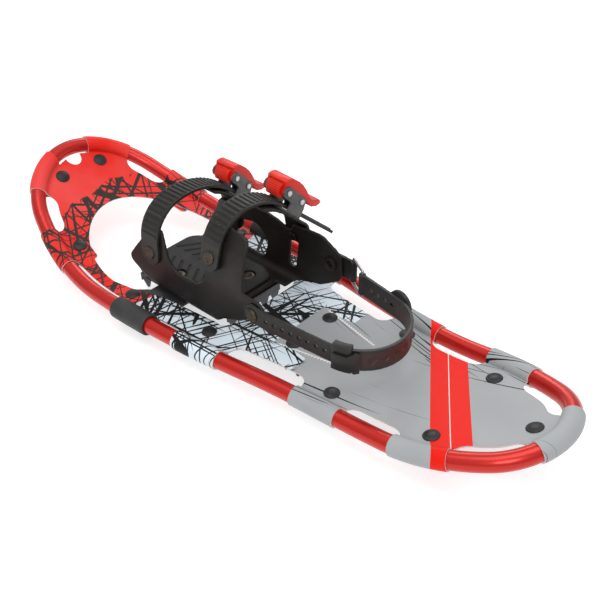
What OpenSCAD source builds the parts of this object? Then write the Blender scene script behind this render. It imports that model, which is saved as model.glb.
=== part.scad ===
// Recreational snowshoe: bent tube frame, wrapped plastic deck, pivoting ratchet
// binding with a heel strap, toe and heel crampons.
// Axes: +X toward the toe, +Y to the wearer's left, +Z up.  Origin on the ground under the
// middle of the frame, with the part standing on its crampon teeth.  All sizes in mm.

/* [Frame] */
// Overall length over the tube
overall_length = 635; // [560:1:720]
// Outside diameter of the frame tube
tube_od = 16; // [14:0.5:20]
// Wall of the frame tube
tube_wall = 1.5; // [1:0.1:2.5]
// Where the nose starts to rise, from the middle
nose_start = 135; // [100:1:200]
// Radius of the nose rise, seen from the side
nose_radius = 223; // [180:1:400]
// Where the tail starts to rise, from the middle
tail_start = -136; // [-220:1:-100]
// Radius of the tail rise, seen from the side
tail_radius = 459; // [300:1:900]

/* [Deck] */
// Deck sheet thickness
deck_t = 1.2; // [1:0.1:2]
// Front of the toe hole
hole_front = 243; // [220:1:255]
// Half width of the toe hole at its widest
hole_half = 71; // [64:0.5:74]
// Rear edge of the toe hole
hole_rear = 9; // [0:1:20]
// Deck rivet head radius
rivet_head_r = 7.2; // [5:0.1:8]

/* [Pivot] */
// Rear and front edge of the pivot band
band_x0 = 69; // [60:1:80]
band_x1 = 113; // [100:1:120]
// Pivot band thickness
band_t = 2.8; // [2:0.1:3.5]

/* [Binding] */
// Wall thickness of the moulded cradle
cradle_t = 3.2; // [2.5:0.1:4]
// Half width of the cradle, to the middle of its wall
cradle_half = 51; // [46:0.5:56]
// Height of the underside of the cradle
cradle_z = 9; // [8.8:0.1:12]
// Front instep strap rivet
front_strap_x = 104; // [95:1:115]
front_strap_z = 55; // [50:1:60]
// Rear instep strap rivet
rear_strap_x = 21; // [10:1:30]
rear_strap_z = 81; // [74:1:86]
// Turn of the rear strap toward the heel, seen from above
rear_strap_yaw = 5; // [0:1:12]
// Instep strap width
ladder_w = 24; // [20:0.5:28]
// Instep strap thickness
ladder_t = 3; // [2.5:0.1:3.5]
// Spacing of the strap ribs
rib_pitch = 5; // [4:0.25:6]
// Hinge pin radius in the buckles
pin_r = 1.5; // [1.2:0.1:2]

/* [Heel strap] */
// Heel strap pivot
heel_x = -34; // [-40:1:-20]
heel_z = 49.5; // [46:0.5:52]
// Height of the heel strap behind the heel, and of its side arm
heel_h = 22; // [20:0.5:28]
arm_h = 18; // [16:0.5:20]
// Droop of the heel strap at rest
heel_droop = 2; // [0:0.5:4]
// Heel strap thickness
heel_t = 3; // [2.5:0.1:3.5]
// Radius of the strap round the heel, to its middle
heel_cr = 42.6; // [38:0.2:46]
// Middle of the heel curve
heel_cx = -116; // [-125:1:-105]
heel_cy = 4; // [0:1:8]

/* [Crampons] */
// Crampon plate thickness
claw_t = 1.6; // [1.2:0.1:2]
// How far the teeth reach below the frame
tooth_drop = 12; // [8:1:20]

/* [Hidden] */
tube_r = tube_od / 2;
// the drawing below has z = 0 at the underside of the rails; the part stands on its teeth
module raised() translate([0, 0, tooth_drop]) children();
fit = 0.05;
wrap_gap = 0.12;
sides = 20;
red = [0.85, 0.13, 0.08]; ice = [0.72, 0.75, 0.78]; blk = [0.12, 0.11, 0.11];
gry = [0.3, 0.3, 0.31]; steel = [0.62, 0.62, 0.64]; orange = [0.93, 0.2, 0.12];

// ---- frame line: tangent arcs from the tail tip round to the nose, [radius, turn] ----
arc_r = [57, 196, -1057, 1139, 313];
arc_a = [64.3, 25.4, -8.2, 10.1, 18.8];
function arc_end(p, h, r, a) = [p[0] + r * (sin(h) - sin(h - a)), p[1] + r * (cos(h - a) - cos(h))];
function arc_start(i) = i == 0 ? [0, 0, 90]
  : let (s = arc_start(i - 1), e = arc_end(s, s[2], arc_r[i - 1], arc_a[i - 1]))
    [e[0], e[1], s[2] - arc_a[i - 1]];
last = arc_start(5);
nose_r = last[1] / cos(last[2]);
nose_a = 90 + last[2];
all_r = concat(arc_r, [nose_r]);
all_a = concat(arc_a, [nose_a]);
raw_tip = arc_end(last, last[2], nose_r, nose_a)[0];
line_len = overall_length - tube_od;
k = line_len / raw_tip;
starts = [for (i = [0:5]) arc_start(i)];
lens = [for (i = [0:5]) k * all_r[i] * all_a[i] * PI / 180];
half_len = lens[0] + lens[1] + lens[2] + lens[3] + lens[4] + lens[5];
function seg_of(u, i = 0) = (i == 5 || u <= lens[i]) ? [i, u] : seg_of(u - lens[i], i + 1);
function half_at(u) = let (g = seg_of(u), i = g[0], a = all_a[i] * g[1] / lens[i], s = starts[i],
    e = arc_end(s, s[2], all_r[i], a)) [k * e[0] - line_len / 2, k * e[1], s[2] - a];
// [x, y, heading] anywhere on the loop, u from 0 (tail tip) over the nose to 2 * half_len
function line_at(u) = u < 0 ? line_at(u + 2 * half_len) : u <= half_len ? half_at(u)
  : let (q = half_at(2 * half_len - u)) [q[0], -q[1], 180 - q[2]];
function lift(x) = tube_r + (x > nose_start ? pow(x - nose_start, 2) / 2 / nose_radius : 0)
  + (x < tail_start ? pow(tail_start - x, 2) / 2 / tail_radius : 0);
function slope(x) = (x > nose_start ? (x - nose_start) / nose_radius : 0)
  - (x < tail_start ? (tail_start - x) / tail_radius : 0);
// point at distance d inside the frame line
function inside(u, d) = let (q = line_at(u)) [q[0] + d * sin(q[2]), q[1] - d * cos(q[2])];
function ring(u, r) = let (q = line_at(u), h = q[2], s = slope(q[0]),
    t = [cos(h), sin(h), s * cos(h)] / norm([cos(h), sin(h), s * cos(h)]),
    n = [-sin(h), cos(h), 0], b = cross(t, n))
  [for (j = [0:sides - 1]) [q[0], q[1], lift(q[0])]
    + r * (cos(360 * j / sides) * n + sin(360 * j / sides) * b)];
// hollow sweep along the stations us, between radii ri and ro (ri = 0 for a solid bar)
module sweep(us, ro, ri) {
  n = len(us); m = sides;
  pts = [for (u = us) each ring(u, ro), if (ri > 0) for (u = us) each ring(u, ri)];
  function id(l, i, j) = l * n * m + i * m + (j % m);
  skin = [for (l = [0:(ri > 0 ? 1 : 0)], i = [0:n - 2], j = [0:m - 1])
    let (a = id(l, i, j), b = id(l, i, j + 1), c = id(l, i + 1, j + 1), d = id(l, i + 1, j))
    each l == 0 ? [[a, c, b], [a, d, c]] : [[a, b, c], [a, c, d]]];
  caps = ri > 0
    ? [for (j = [0:m - 1]) each [[id(0, 0, j), id(0, 0, j + 1), id(1, 0, j + 1), id(1, 0, j)],
        [id(0, n - 1, j), id(1, n - 1, j), id(1, n - 1, j + 1), id(0, n - 1, j + 1)]]]
    : [[for (j = [0:m - 1]) id(0, 0, j)], [for (j = [m - 1:-1:0]) id(0, n - 1, j)]];
  polyhedron(pts, concat(skin, caps), convexity = 8);
}
function span(a, b, n) = [for (i = [0:n]) a + (b - a) * i / n];

// ---- 2D helpers ----
// polygon with rounded corners, points given as [x, y, radius]
function unit(v) = v / norm(v);
function rounded(p, n = 5) = [for (i = [0:len(p) - 1])
  let (a = p[(i + len(p) - 1) % len(p)], b = p[i], c = p[(i + 1) % len(p)],
    o = [b[0], b[1]], va = unit([a[0], a[1]] - o), vc = unit([c[0], c[1]] - o),
    half = acos(max(-1, min(1, va * vc))) / 2, r = b[2])
  each (r <= 0 || half > 89) ? [o]
    : let (t = r / tan(half), ctr = o + unit(va + vc) * r / sin(half),
        s = o + va * t - ctr, e = o + vc * t - ctr,
        a0 = atan2(s[1], s[0]), da = atan2(e[1], e[0]) - a0,
        w = da > 180 ? da - 360 : da < -180 ? da + 360 : da)
      [for (j = [0:n]) ctr + r * [cos(a0 + w * j / n), sin(a0 + w * j / n)]]];
// band of thickness t along an open path
function tangent(p, i) = unit(p[min(i + 1, len(p) - 1)] - p[max(i - 1, 0)]);
function band(p, t) = concat(
  [for (i = [0:len(p) - 1]) let (d = tangent(p, i)) p[i] + t / 2 * [-d[1], d[0]]],
  [for (i = [len(p) - 1:-1:0]) let (d = tangent(p, i)) p[i] - t / 2 * [-d[1], d[0]]]);
// path of tangent pieces [radius, turn] (radius 0: straight of that length)
function walk(p, h, s, i = 0, n = 8) = i == len(s) ? [p]
  : s[i][0] == 0 ? concat([p], walk(p + s[i][1] * [cos(h), sin(h)], h, s, i + 1, n))
  : let (r = s[i][0], a = s[i][1], g = sign(a))
    concat([for (j = [0:n - 1]) let (b = h + a * j / n) p + r * g * [sin(b) - sin(h), cos(h) - cos(b)]],
      walk(p + r * g * [sin(h + a) - sin(h), cos(h) - cos(h + a)], h + a, s, i + 1, n));

module along_y(y0, y1) translate([0, y1, 0]) rotate([90, 0, 0]) linear_extrude(y1 - y0) children();
module along_x(x0, x1) translate([x0, 0, 0]) rotate([90, 0, 90]) linear_extrude(x1 - x0) children();

// ---- frame ----
// stations along the half loop: every wrap starts and ends on one, so wraps and tube have equal facets
marks = [0.15, 9, 18, 27, 93, 141, 197, 243, 326, 377, 413, 459, 541, 586, 610, 634, 680, half_len];
parts = [1, 1, 1, 7, 3, 3, 2, 2, 1, 1, 2, 3, 2, 2, 2, 4, 2];
half_u = concat([marks[0]], [for (i = [0:len(parts) - 1], j = [1:parts[i]])
  marks[i] + (marks[i + 1] - marks[i]) * j / parts[i]]);
all_u = concat(half_u, [for (i = [len(half_u) - 2:-1:0]) 2 * half_len - half_u[i]]);
function stations(a, b) = [for (u = half_u) if (u > a - 0.1 && u < b + 0.1) u];
tail_u = [-27, -18, -9, 0, 9, 18, 27];
module frame_tube() color(red) raised() sweep(all_u, tube_r, tube_r - tube_wall);
module tail_plug() color(steel) raised() sweep([-18, -9, 0, 9, 18], tube_r - tube_wall - wrap_gap, 3.5);

// ---- deck ----
// tabs as [start, end] along the left half of the frame line; the tail tab is centred
tail_tab = 27;
tabs = [[93, 141], [197, 243], [326, 377], [541, 586], [634, 680]];
gap_d = [18.5, 18, 24, 11.6, 19];
wall_mid = tube_r + deck_t / 2 + wrap_gap;
function notch_in(f, r) = f >= r ? 1 : sqrt(1 - pow(1 - f / r, 2));
function gap_edge(a, b, d, n = 18) = [for (i = [0:n])
  let (u = a + (b - a) * i / n, e = min(u - a, b - u)) inside(u, wall_mid + (d - wall_mid) * notch_in(e, 13))];
function tab_edge(a, b, n = 6) = [for (i = [1:n - 1]) inside(a + (b - a) * i / n, wall_mid)];
deck_side = concat(tab_edge(-tail_tab, tail_tab, 8), gap_edge(tail_tab, tabs[0][0], gap_d[0]),
  tab_edge(tabs[0][0], tabs[0][1]), gap_edge(tabs[0][1], tabs[1][0], gap_d[1]),
  tab_edge(tabs[1][0], tabs[1][1]), gap_edge(tabs[1][1], tabs[2][0], gap_d[2]),
  tab_edge(tabs[2][0], tabs[2][1]), gap_edge(tabs[2][1], tabs[3][0], gap_d[3], 24),
  tab_edge(tabs[3][0], tabs[3][1]), gap_edge(tabs[3][1], tabs[4][0], gap_d[4]),
  tab_edge(tabs[4][0], tabs[4][1]), [inside(tabs[4][1], wall_mid), [301, 9]],
  [for (i = [1:7]) [301 - 9 * sin(90 * i / 7), 9 * cos(90 * i / 7)]]);
deck_half = [for (p = deck_side) if (p[1] >= 0) p];
module deck_outline() polygon(concat(deck_half,
  [for (i = [len(deck_half) - 2:-1:0]) [deck_half[i][0], -deck_half[i][1]]]));
hole_half_pts = concat([for (i = [0:11]) [150 + (hole_front - 150) * cos(i * 90 / 11),
    hole_half * sin(i * 90 / 11)]], [[128, 67], [112, 62.5], [96, 57.5], [80, 55], [60, 53], [24, 49.5]],
  [for (i = [0:5]) [hole_rear + 13 - 13 * sin(i * 18), 37.5 + 13 * cos(i * 18)]]);
module toe_hole() polygon(concat(hole_half_pts,
  [for (i = [len(hole_half_pts) - 1:-1:1]) [hole_half_pts[i][0], -hole_half_pts[i][1]]]));
xs = concat(span(-330, tail_start, 18), span(nose_start, 330, 24));
// sheet between heights a and b measured from the frame centre line
module sheet(a, b) along_y(-130, 130)
  polygon(concat([for (x = xs) [x, lift(x) + a]],
    [for (i = [len(xs) - 1:-1:0]) [xs[i], lift(xs[i]) + b]]));
module flap(u0, u1) linear_extrude(120) polygon(concat(
  [for (u = span(u0, u1, 6)) inside(u, wall_mid)],
  [for (u = span(u1 - 5, u0 + 5, 4)) inside(u, 33)]));
module both_sides() { children(); mirror([0, 1, 0]) children(); }
// frame of a rivet standing square to the deck at (x, y)
module on_deck(x, y) translate([x, y, lift(x)]) rotate([0, -atan(slope(x)), 0]) children();
tab_rivets = [[287, 25], [213, 64], [17, 64], [-124, 52.5], [-222, 45]];
claw_rivets = [[-54, 25]];
band_rivets = [[119, 72.5]];
module deck() color(ice) raised() difference() {
  union() {
    difference() {
      intersection() { linear_extrude(130) deck_outline(); sheet(-deck_t / 2, deck_t / 2); }
      translate([0, 0, -1]) linear_extrude(80) toe_hole();
    }
    intersection() {
      union() {
        both_sides() for (t = tabs) flap(t[0], t[1]);
        flap(-tail_tab, tail_tab);
      }
      sheet(-1.5 * deck_t, -deck_t / 2 + 0.01);
    }
    both_sides() for (t = tabs) sweep(stations(t[0], t[1]), tube_r + deck_t + wrap_gap, tube_r + wrap_gap);
    sweep(tail_u, tube_r + deck_t + wrap_gap, tube_r + wrap_gap);
  }
  for (p = concat(tab_rivets, claw_rivets, band_rivets), s = [-1, 1])
    on_deck(p[0], s * p[1]) cylinder(h = 12, r = 2.45, center = true, $fn = 32);
  on_deck(-286, 0) cylinder(h = 12, r = 2.45, center = true, $fn = 32);
}
// domed rivet clamping everything from the deck top down to `grip` below the centre line
module rivet(grip, hr = rivet_head_r) {
  translate([0, 0, deck_t / 2 + 0.08]) rotate_extrude($fn = 48)
    polygon([[0, 0], [hr, 0], [hr, 0.7], [hr * 0.86, 1.7], [hr * 0.6, 2.3], [0, 2.5]]);
  translate([0, 0, -grip]) cylinder(h = grip + deck_t, r = 2.4, $fn = 32);
  translate([0, 0, -grip - 1.2]) cylinder(h = 1.2, r = 4.2, $fn = 32);
}
washer_t = 0.9;
tab_grip = 1.5 * deck_t;
module washer() translate([0, 0, -tab_grip - washer_t]) difference() {
  cylinder(h = washer_t, r = 6.5, $fn = 40);
  translate([0, 0, -1]) cylinder(h = 3, r = 2.45, $fn = 32);
}
module deck_rivets() color(blk) raised() {
  for (p = tab_rivets, s = [-1, 1]) on_deck(p[0], s * p[1]) rivet(tab_grip + washer_t);
  on_deck(-286, 0) rivet(tab_grip + washer_t);
}
module rivet_washers() color(steel) raised() {
  for (p = tab_rivets, s = [-1, 1]) on_deck(p[0], s * p[1]) washer();
  on_deck(-286, 0) washer();
}

// ---- pivot band: its ends grip the side rails, its middle turns with the binding ----
band_top = tube_r - deck_t / 2 - 0.1;
band_split = 54;
band_u = [413, 459];
module band_plate(p) translate([0, 0, band_top - band_t]) linear_extrude(band_t) polygon(p);
module pivot_band_ends() color(blk) raised() both_sides() difference() {
  union() {
    sweep(stations(band_u[0], band_u[1]), tube_r + band_t + wrap_gap, tube_r + wrap_gap);
    band_plate(concat([[band_x0, band_split + 0.15], [band_x1, band_split + 0.15], [127, 66], [128, 79]],
      [for (u = span(band_u[1] - 0.5, band_u[0] + 0.5, 4)) inside(u, tube_r + 1.6)]));
  }
  translate([119, 72.5, 0]) cylinder(h = 30, r = 2.45, center = true, $fn = 32);
}
module pivot_rivets() color(blk) raised() for (s = [-1, 1])
  on_deck(119, s * 72.5) rivet(deck_t / 2 + 0.1 + band_t);
base_pts = [[104, 24], [104, -24], [78, 30], [78, -30], [50, 20], [50, -20]];
module base_holes() for (p = base_pts) translate([p[0], p[1], 0])
  cylinder(h = 60, r = 2.55, center = true, $fn = 32);
module pivot_band_middle() color(blk) raised() difference() {
  band_plate([[band_x0, -band_split + 0.15], [band_x1, -band_split + 0.15],
    [band_x1, band_split - 0.15], [band_x0, band_split - 0.15]]);
  base_holes();
}

// ---- crampons ----
// row of n teeth reaching tooth_drop below the rails, on a flange from `top` down to `root`
module teeth(w, n, top, root) polygon(concat([[-w, top], [-w, root]],
  [for (i = [0:n - 1]) let (p = 2 * w / n, a = -w + i * p)
    each [[a + 0.12 * p, root], [a + 0.42 * p, -tooth_drop], [a + 0.58 * p, -tooth_drop], [a + 0.88 * p, root]]],
  [[w, root], [w, top]]));
heel_claw_top = tube_r - deck_t / 2 - fit;
claw_half = 39;
module heel_crampon() color(gry) raised() difference() {
  union() {
    translate([0, 0, heel_claw_top - claw_t]) linear_extrude(claw_t) polygon(rounded([[-80, -claw_half, 2],
      [-32, -claw_half, 2], [-32, -18, 8], [-40, 0, 12], [-32, 18, 8], [-32, claw_half, 2],
      [-80, claw_half, 2], [-70, 0, 20]]));
    both_sides() translate([-56, 0, 0]) along_y(claw_half - claw_t, claw_half)
      teeth(22, 3, heel_claw_top - 0.4, 1);
    both_sides() translate([0, claw_half - 10, 0]) along_x(-32 - claw_t, -32)
      teeth(10, 2, heel_claw_top - 0.4, 2);
  }
  for (s = [-1, 1]) translate([-54, 25 * s, 0]) cylinder(h = 30, r = 2.45, center = true, $fn = 32);
}
module crampon_rivets() color(blk) raised() for (s = [-1, 1])
  on_deck(-54, 25 * s) rivet(deck_t / 2 + fit + claw_t);
claw_top = cradle_z - fit;
module toe_crampon() color(gry) raised() difference() {
  union() {
    translate([0, 0, claw_top - claw_t]) linear_extrude(claw_t) polygon(rounded([[22, -36, 2],
      [60, -40, 4], [96, -42, 4], [142, -44, 2], [142, 44, 2], [96, 42, 4], [60, 40, 4], [22, 36, 2]]));
    along_x(140.4, 142) teeth(44, 6, claw_top, 0.5);
    along_x(22, 23.6) teeth(36, 5, claw_top, 0.5);
  }
  base_holes();
}

// ---- binding cradle: U-shaped shell trimmed by a different outline on each side ----
lean_z = 45; lean_r = 130;
function wall_y(z) = z <= lean_z ? cradle_half
  : cradle_half - lean_r + sqrt(lean_r * lean_r - pow(z - lean_z, 2));
function wall_lean(z) = z <= lean_z ? 0 : asin((z - lean_z) / lean_r);
base_mid = cradle_z + cradle_t / 2;
u_half = concat([[0, base_mid]],
  [for (i = [0:5]) [cradle_half - 9 + 9 * sin(i * 18), base_mid + 9 - 9 * cos(i * 18)]],
  [for (z = span(24, lean_z, 2)) [cradle_half, z]], [for (z = span(lean_z + 9, 117, 8)) [wall_y(z), z]]);
u_path = concat([for (i = [len(u_half) - 1:-1:1]) [-u_half[i][0], u_half[i][1]]], u_half);
near_out = rounded([[26, 0, 0], [20, 13, 6], [8, 22, 10], [-14, 30, 14], [-26, 38, 8], [-45.5, 38, 10.5],
  [-45.5, 60.5, 10.5], [-18, 61, 3], [-15, 108, 8],
  [10, 112, 12], [31, 106, 8], [30, 44, 20], [77, 44, 20], [92, 80, 6], [106, 80, 8], [145, 33, 7],
  [122, 20, 8], [101, 14, 5], [101, 0, 0]]);
far_out = rounded([[20, 0, 0], [10, 12, 8], [-20, 18, 16], [-47.5, 35, 13], [-47.5, 62, 13], [-26, 79, 12], [10, 77, 6],
  [17, 66, 6], [34, 73, 8], [62, 80, 8], [80, 64, 8], [116, 66, 8], [146, 14, 6], [130, 0, 0]]);
// stands on the middle of the left wing, +Y outward and +Z up the wing
module on_wing(x, z, yaw = 0) translate([x, wall_y(z), z])
  rotate([0, 0, yaw]) rotate([wall_lean(z), 0, 0]) children();
module cradle_plan() polygon(rounded([[24, -60, 0], [134, -60, 0], [134, -44, 6], [151, -40, 12],
  [151, 40, 12], [128, 46, 4], [128, 60, 0], [24, 60, 0]]));
module binding_cradle() color(blk) raised() difference() {
  union() {
    intersection() {
      along_x(-60, 160) polygon(band(u_path, cradle_t));
      union() {
        translate([0, 0, -1]) linear_extrude(cradle_z + cradle_t + 1.01) cradle_plan();
        along_y(cradle_half - 18, 90) polygon(near_out);
        along_y(-90, -cradle_half + 18) polygon(far_out);
      }
    }
  }
  base_holes();
  // openings in the right wing
  along_y(-90, -20) polygon(rounded([[99, 20, 8], [92, 50, 14], [62, 56, 14], [50, 38, 8], [56, 18, 8]]));
  along_y(-90, -20) polygon(rounded([[12, 24, 4.2], [22, 24, 4.2], [17, 60, 4.2], [7, 60, 4.2]]));
  for (i = [0, 1]) {
    side_frame(i) rotate([90, 0, 0]) cylinder(h = 20, r = 2.55, center = true, $fn = 32);
    mount_frame(i) rotate([90, 0, 0]) cylinder(h = 20, r = 2.55, center = true, $fn = 32);
  }
  translate([heel_x, 50, heel_z]) rotate([90, 0, 0]) cylinder(h = 12, r = 3.05, center = true, $fn = 40);
  translate([heel_x, -50, heel_z]) rotate([90, 0, 0]) cylinder(h = 12, r = 5.05, center = true, $fn = 40);
}
module footbed_pad() color(gry) raised() difference() {
  translate([0, 0, cradle_z + cradle_t]) linear_extrude(2.6) polygon(rounded([[30, -36, 10], [92, -39, 20],
    [149, -37, 12], [149, 37, 12], [92, 39, 20], [30, 36, 10]]));
  for (i = [0:6], s = [-1, 1]) translate([64 + i * 12, s * 17, cradle_z + cradle_t + 1.2]) rotate([0, 0, s * 35])
    translate([-1.1, -13, 0]) cube([2.2, 26, 3]);
  for (p = base_pts) translate([p[0], p[1], cradle_z + cradle_t - 1]) cylinder(h = 8, r = 7.6, $fn = 40);
}
module base_rivets() color(gry) raised() for (p = base_pts) translate([p[0], p[1], 0]) {
  bottom = p[0] < band_x0 ? claw_top - claw_t : band_top - band_t;
  translate([0, 0, bottom]) cylinder(h = cradle_z + cradle_t - bottom + 0.5, r = 2.5, $fn = 32);
  translate([0, 0, cradle_z + cradle_t]) rotate_extrude($fn = 40)
    polygon([[0, 0], [7, 0], [7, 0.8], [5, 1.8], [2.4, 1.8], [2, 1.2], [0, 1.2]]);
  translate([0, 0, bottom - 1.2]) cylinder(h = 1.2, r = 4.4, $fn = 32);
}

// ---- instep straps: two straps, i = 0 front and 1 rear ----
strap_x = [front_strap_x, rear_strap_x];
strap_z = [front_strap_z, rear_strap_z];
strap_yaw = [0, -rear_strap_yaw];
// mount strap rivet on the right wing: [height, tongue turn]
mount_at = [[46, 20], [62, 30]];
mount_t = 3;
base_rivet_u = 8.5;
strap_y = [wall_y(strap_z[0]), wall_y(strap_z[1])];
lean = [wall_lean(strap_z[0]), wall_lean(strap_z[1])];
mount_lean = [wall_lean(mount_at[0][0]), wall_lean(mount_at[1][0])];
skew = [0, 1.1];
off = [cradle_t / 2 + 0.4 + ladder_t / 2, cradle_t / 2 + 0.4 + ladder_t / 2 + skew[1]];
far_y = [for (i = [0, 1]) (wall_y(mount_at[i][0]) + strap_y[i]) / cos(strap_yaw[i]) - strap_y[i]];
// plane of a strap: x across it, Y and Z as in the world but for the yaw
module strap_frame(i) translate([strap_x[i], strap_y[i], 0]) rotate([0, 0, strap_yaw[i]])
  translate([0, -strap_y[i], 0]) children();
module side_frame(i) on_wing(strap_x[i], strap_z[i], strap_yaw[i]) children();
module mount_frame(i) strap_frame(i) translate([0, -far_y[i], mount_at[i][0]])
  mirror([0, 1, 0]) rotate([mount_lean[i], 0, 0]) children();
out_h = 222;
bend_r = [38, 38];
over_r = [80, 57];
over_a = [52, 44];
bend_a = [for (i = [0, 1]) out_h - 90 - lean[i] - over_a[i]];
tail_len = [52, 88];
up = [for (i = [0, 1]) [-sin(lean[i]), cos(lean[i])]];
strap_foot = [for (i = [0, 1]) [strap_y[i], strap_z[i]] + off[i] * [cos(lean[i]), sin(lean[i])]];
bend_c = [for (i = [0, 1]) strap_foot[i] + 13 * up[i] - bend_r[i] * [cos(lean[i]), sin(lean[i])]];
bend_e = [for (i = [0, 1]) lean[i] + bend_a[i]];
over_c = [for (i = [0, 1]) bend_c[i] + (bend_r[i] - over_r[i]) * [cos(bend_e[i]), sin(bend_e[i])]];
buckle_at = [for (i = [0, 1]) over_c[i] + over_r[i] * [cos(out_h - 90), sin(out_h - 90)]];
function ladder_path(i) = walk(strap_foot[i] - 13 * up[i], 90 + lean[i],
  [[0, 26], [bend_r[i], bend_a[i]], [over_r[i], over_a[i]], [0, tail_len[i]]]);
// buckle frame: x across, Y along the strap away from the rivet, Z outward
module buckle_frame(i) strap_frame(i) translate([0, buckle_at[i][0], buckle_at[i][1]])
  rotate([out_h - 180, 0, 0]) mirror([0, 1, 0]) children();
bend_len = [for (i = [0, 1]) bend_r[i] * bend_a[i] * PI / 180];
over_len = [for (i = [0, 1]) over_r[i] * over_a[i] * PI / 180];
rib_h = 1;
rib_half = 1.1;
rib_first = 3.2;
// point at distance s after the straight foot, d outside the middle of the strap
function on_ladder(i, s, d) = s < bend_len[i] ? let (a = lean[i] + bend_a[i] * s / bend_len[i])
    bend_c[i] + (bend_r[i] + d) * [cos(a), sin(a)]
  : s < bend_len[i] + over_len[i] ? let (a = bend_e[i] + over_a[i] * (s - bend_len[i]) / over_len[i])
    over_c[i] + (over_r[i] + d) * [cos(a), sin(a)]
  : buckle_at[i] + (s - bend_len[i] - over_len[i]) * [cos(out_h), sin(out_h)]
    + d * [cos(out_h - 90), sin(out_h - 90)];
function rib_at(i) = let (m = bend_len[i] + over_len[i] + rib_first,
    n0 = floor((m - 2) / rib_pitch), n1 = floor((tail_len[i] - rib_first - 8) / rib_pitch))
  [for (j = [-n0:n1]) m + j * rib_pitch];
function comb(i) = let (r = rib_at(i)) concat(
  [for (s = r) each [on_ladder(i, s - rib_half, ladder_t / 2 - 0.5), on_ladder(i, s - rib_half, ladder_t / 2 + rib_h),
    on_ladder(i, s + rib_half, ladder_t / 2 + rib_h), on_ladder(i, s + rib_half, ladder_t / 2 - 0.5)]],
  [for (j = [len(r) - 1:-1:0]) on_ladder(i, r[j], ladder_t / 2 - 1.4)]);
module ladder(i) difference() {
  strap_frame(i) {
    along_x(-ladder_w / 2, ladder_w / 2) polygon(band(ladder_path(i), ladder_t));
    along_x(2 - ladder_w / 2, ladder_w / 2 - 2) polygon(comb(i));
  }
  // rounded foot of the strap, and the rounded tip
  side_frame(i) rotate([90, 0, 0]) difference() {
    translate([0, -10.5, 0]) cube([ladder_w + 4, 20, 24], center = true);
    cylinder(h = 26, r = ladder_w / 2 + 0.5, center = true, $fn = 64);
  }
  side_frame(i) rotate([90, 0, 0]) cylinder(h = 30, r = 2.55, center = true, $fn = 32);
  buckle_frame(i) translate([0, tail_len[i] - 8, 0]) difference() {
    translate([-ladder_w, 2, -5]) cube([2 * ladder_w, 20, 10]);
    translate([0, -8, -6]) cylinder(h = 12, r = 15.6, $fn = 64);
  }
}
module ladder_strap_front() color(gry) raised() ladder(0);
module ladder_strap_rear() color(gry) raised() ladder(1);
// rivet through a wing and a strap `outer` away from the wing middle, ring head outside
module wing_rivet(outer, slack) {
  rotate([-90, 0, 0]) translate([0, 0, -cradle_t / 2 - slack - 1])
    cylinder(h = outer + cradle_t / 2 + slack + 1.4, r = 2.5, $fn = 32);
  translate([0, outer, 0]) rotate([-90, 0, 0]) rotate_extrude($fn = 48)
    polygon([[0, 0], [6.6, 0], [6.6, 0.6], [5.6, 1.5], [4, 1.5], [3.6, 1.1], [0, 1.1]]);
  translate([0, -cradle_t / 2 - slack, 0]) rotate([90, 0, 0]) cylinder(h = 1, r = 4.6, $fn = 40);
}
module strap_rivets() color(gry) raised() for (i = [0, 1]) side_frame(i)
  wing_rivet(off[i] + ladder_t / 2, i == 0 ? 0.2 : 0.6);

// ---- mount straps: from the right wing up under each buckle ----
mount_w = [30, 34];
mount_v = -3.8 - mount_t / 2;
mount_off = [for (i = [0, 1]) cradle_t / 2 + 0.4 + mount_t / 2 + mount_w[i] / 2 * sin(-strap_yaw[i])];
function cross2(a, b) = a[0] * b[1] - a[1] * b[0];
function mount_path(i) = let (l = mount_lean[i], z = mount_at[i][0], d = [sin(l), cos(l)],
    s = [-far_y[i], z] + mount_off[i] * [-cos(l), sin(l)],
    n = [cos(out_h - 90), sin(out_h - 90)], f = buckle_at[i] + mount_v * n, e = [cos(out_h), sin(out_h)],
    c = f + e * cross2(s - f, d) / cross2(e, d), a = s - 13 * d)
  concat(rounded([[a[0], a[1], 0], [c[0], c[1], 12], [f[0], f[1], 0]], 6),
    [for (j = [1:5]) over_c[i] + (over_r[i] + mount_v) * [cos(out_h - 90 - mount_at[i][1] * j / 5),
      sin(out_h - 90 - mount_at[i][1] * j / 5)]]);
module mount(i) difference() {
  strap_frame(i) along_x(-mount_w[i] / 2, mount_w[i] / 2) polygon(band(mount_path(i), mount_t));
  mount_frame(i) rotate([90, 0, 0]) difference() {
    translate([0, -12, 0]) cube([60, 24.01, 24], center = true);
    cylinder(h = 26, r = mount_w[i] / 2, center = true, $fn = 64);
  }
  mount_frame(i) rotate([90, 0, 0]) cylinder(h = 30, r = 2.55, center = true, $fn = 32);
  buckle_frame(i) translate([0, base_rivet_u, -12]) cylinder(h = 20, r = 2.55, $fn = 32);
}
module mount_strap_front() color(blk) raised() mount(0);
module mount_strap_rear() color(blk) raised() mount(1);
module mount_rivets() color(gry) raised() for (i = [0, 1]) {
  mount_frame(i) wing_rivet(mount_off[i] + mount_t / 2, i == 0 ? 0.2 : 0.9);
  buckle_frame(i) {
    translate([0, base_rivet_u, mount_v - mount_t / 2 - 0.5]) cylinder(h = mount_t + 2.3, r = 2.5, $fn = 32);
    translate([0, base_rivet_u, mount_v - mount_t / 2 - 1.1]) cylinder(h = 1.05, r = 3.4, $fn = 40);
  }
}

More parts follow.
